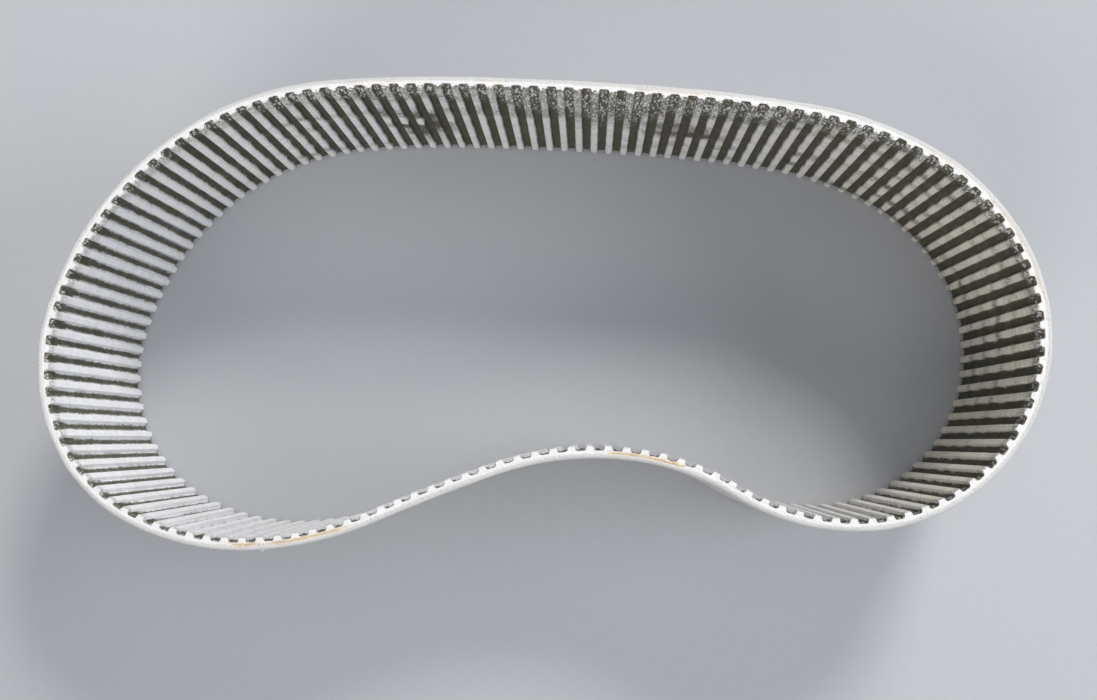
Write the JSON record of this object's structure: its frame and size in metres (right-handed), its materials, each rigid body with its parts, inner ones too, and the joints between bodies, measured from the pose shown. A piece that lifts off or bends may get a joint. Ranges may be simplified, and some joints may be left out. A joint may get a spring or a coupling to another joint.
{
  "type": "timing belt",
  "caption": "Endless fine-pitch timing belt with trapezoidal teeth inside, standing on its cut edge in a dented kidney-shaped loop that flexes open and shut.",
  "frame": {"origin": "under the middle of the loop's bounding box, on the plane that the belt stands on", "axes": "+X along the loop's length, +Y towards the nearly straight run opposite the dent, +Z across the belt's width, up"},
  "size_m": [0.1146, 0.0544, 0.0254],
  "materials": {
    "elastomer": "matt light grey elastomer, finely pitted where it is cut, scuffed",
    "cord": "twisted golden-yellow aramid cord",
    "facing": "dark woven nylon facing, worn pale on the tooth crests"
  },
  "bodies": {
    "section_01": {"belt_body_01": "elastomer", "tension_cords_01": "cord", "tooth_facing_01": "facing"},
    "section_02": {"belt_body_02": "elastomer", "tension_cords_02": "cord", "tooth_facing_02": "facing"},
    "section_03": {"belt_body_03": "elastomer", "tension_cords_03": "cord", "tooth_facing_03": "facing"},
    "section_04": {"belt_body_04": "elastomer", "tension_cords_04": "cord", "tooth_facing_04": "facing"},
    "section_05": {"belt_body_05": "elastomer", "tension_cords_05": "cord", "tooth_facing_05": "facing"},
    "section_06": {"belt_body_06": "elastomer", "tension_cords_06": "cord", "tooth_facing_06": "facing"},
    "section_07": {"belt_body_07": "elastomer", "tension_cords_07": "cord", "tooth_facing_07": "facing"},
    "section_08": {"belt_body_08": "elastomer", "tension_cords_08": "cord", "tooth_facing_08": "facing"},
    "section_09": {"belt_body_09": "elastomer", "tension_cords_09": "cord", "tooth_facing_09": "facing"},
    "section_10": {"belt_body_10": "elastomer", "tension_cords_10": "cord", "tooth_facing_10": "facing"},
    "section_11": {"belt_body_11": "elastomer", "tension_cords_11": "cord", "tooth_facing_11": "facing"},
    "section_12": {"belt_body_12": "elastomer", "tension_cords_12": "cord", "tooth_facing_12": "facing"},
    "section_13": {"belt_body_13": "elastomer", "tension_cords_13": "cord", "tooth_facing_13": "facing"},
    "section_14": {"belt_body_14": "elastomer", "tension_cords_14": "cord", "tooth_facing_14": "facing"},
    "section_15": {"belt_body_15": "elastomer", "tension_cords_15": "cord", "tooth_facing_15": "facing"},
    "section_16": {"belt_body_16": "elastomer", "tension_cords_16": "cord", "tooth_facing_16": "facing"},
    "section_17": {"belt_body_17": "elastomer", "tension_cords_17": "cord", "tooth_facing_17": "facing"},
    "section_18": {"belt_body_18": "elastomer", "tension_cords_18": "cord", "tooth_facing_18": "facing"},
    "section_19": {"belt_body_19": "elastomer", "tension_cords_19": "cord", "tooth_facing_19": "facing"},
    "section_20": {"belt_body_20": "elastomer", "tension_cords_20": "cord", "tooth_facing_20": "facing"}
  },
  "joints": [
    {"name": "flex_line_01", "type": "hinge", "parent": "section_01", "child": "section_02", "pos_m": [0.0037, 0.02575, 0.0127], "axis": [0, 0, 1], "range_deg": [-20, 12], "stiffness_Nm_per_rad": 0.02},
    {"name": "flex_line_02", "type": "hinge", "parent": "section_02", "child": "section_03", "pos_m": [0.01788, 0.0246, 0.0127], "axis": [0, 0, 1], "range_deg": [-9.14, 5.48]},
    {"name": "flex_line_03", "type": "hinge", "parent": "section_03", "child": "section_04", "pos_m": [0.03195, 0.02251, 0.0127], "axis": [0, 0, 1], "range_deg": [-0.4254, 0.256]},
    {"name": "flex_line_04", "type": "hinge", "parent": "section_04", "child": "section_05", "pos_m": [0.04509, 0.01728, 0.0127], "axis": [0, 0, 1], "range_deg": [-4.65, 7.75]},
    {"name": "flex_line_05", "type": "hinge", "parent": "section_05", "child": "section_06", "pos_m": [0.05445, 0.00681, 0.0127], "axis": [0, 0, 1], "range_deg": [-8.86, 14.77]},
    {"name": "flex_line_06", "type": "hinge", "parent": "section_06", "child": "section_07", "pos_m": [0.05617, -0.00705, 0.0127], "axis": [0, 0, 1], "range_deg": [-7.74, 12.89]},
    {"name": "flex_line_07", "type": "hinge", "parent": "section_07", "child": "section_08", "pos_m": [0.04906, -0.01907, 0.0127], "axis": [0, 0, 1], "range_deg": [-1.97, 3.28]},
    {"name": "flex_line_08", "type": "hinge", "parent": "section_08", "child": "section_09", "pos_m": [0.03604, -0.0241, 0.0127], "axis": [0, 0, 1], "range_deg": [-1.05, 1.76]},
    {"name": "flex_line_09", "type": "hinge", "parent": "section_09", "child": "section_10", "pos_m": [0.02248, -0.02051, 0.0127], "axis": [0, 0, 1], "range_deg": [-6.36, 3.82]},
    {"name": "flex_line_10", "type": "hinge", "parent": "section_10", "child": "section_11", "pos_m": [0.00906, -0.01622, 0.0127], "axis": [0, 0, 1], "range_deg": [-14.07, 8.44]},
    {"name": "flex_line_11", "type": "hinge", "parent": "section_11", "child": "section_12", "pos_m": [-0.00494, -0.0181, 0.0127], "axis": [0, 0, 1], "range_deg": [-9.88, 5.93]},
    {"name": "flex_line_12", "type": "hinge", "parent": "section_12", "child": "section_13", "pos_m": [-0.01819, -0.02325, 0.0127], "axis": [0, 0, 1], "range_deg": [-5.66, 3.4]},
    {"name": "flex_line_13", "type": "hinge", "parent": "section_13", "child": "section_14", "pos_m": [-0.03198, -0.02642, 0.0127], "axis": [0, 0, 1], "range_deg": [-3.89, 2.34]},
    {"name": "flex_line_20", "type": "hinge", "parent": "section_01", "child": "section_20", "pos_m": [-0.0105, 0.0264, 0.0127], "axis": [0, 0, 1], "range_deg": [-7.52, 12.53]},
    {"name": "flex_line_19", "type": "hinge", "parent": "section_20", "child": "section_19", "pos_m": [-0.02472, 0.02607, 0.0127], "axis": [0, 0, 1], "range_deg": [-2.45, 1.47]},
    {"name": "flex_line_18", "type": "hinge", "parent": "section_19", "child": "section_18", "pos_m": [-0.0383, 0.02217, 0.0127], "axis": [0, 0, 1], "range_deg": [-10.66, 6.39]},
    {"name": "flex_line_17", "type": "hinge", "parent": "section_18", "child": "section_17", "pos_m": [-0.04916, 0.01315, 0.0127], "axis": [0, 0, 1], "range_deg": [-8.61, 5.17]},
    {"name": "flex_line_16", "type": "hinge", "parent": "section_17", "child": "section_16", "pos_m": [-0.0557, 0.00061, 0.0127], "axis": [0, 0, 1], "range_deg": [-8.6, 5.16]},
    {"name": "flex_line_15", "type": "hinge", "parent": "section_16", "child": "section_15", "pos_m": [-0.05517, -0.01334, 0.0127], "axis": [0, 0, 1], "range_deg": [-11.19, 6.71]}
  ],
  "couplings": [
    {"joint": "flex_line_02", "follows": "flex_line_01", "ratio": 0.45681},
    {"joint": "flex_line_03", "follows": "flex_line_01", "ratio": 0.02117},
    {"joint": "flex_line_04", "follows": "flex_line_01", "ratio": -0.3875},
    {"joint": "flex_line_05", "follows": "flex_line_01", "ratio": -0.73857},
    {"joint": "flex_line_06", "follows": "flex_line_01", "ratio": -0.64446},
    {"joint": "flex_line_07", "follows": "flex_line_01", "ratio": -0.16377},
    {"joint": "flex_line_08", "follows": "flex_line_01", "ratio": -0.0877},
    {"joint": "flex_line_09", "follows": "flex_line_01", "ratio": 0.31794},
    {"joint": "flex_line_10", "follows": "flex_line_01", "ratio": 0.70318},
    {"joint": "flex_line_11", "follows": "flex_line_01", "ratio": 0.49411},
    {"joint": "flex_line_12", "follows": "flex_line_01", "ratio": 0.2828},
    {"joint": "flex_line_13", "follows": "flex_line_01", "ratio": 0.19457},
    {"joint": "flex_line_20", "follows": "flex_line_01", "ratio": -0.62625},
    {"joint": "flex_line_19", "follows": "flex_line_01", "ratio": 0.12232},
    {"joint": "flex_line_18", "follows": "flex_line_01", "ratio": 0.53272},
    {"joint": "flex_line_17", "follows": "flex_line_01", "ratio": 0.43048},
    {"joint": "flex_line_16", "follows": "flex_line_01", "ratio": 0.43003},
    {"joint": "flex_line_15", "follows": "flex_line_01", "ratio": 0.55929}
  ]
}
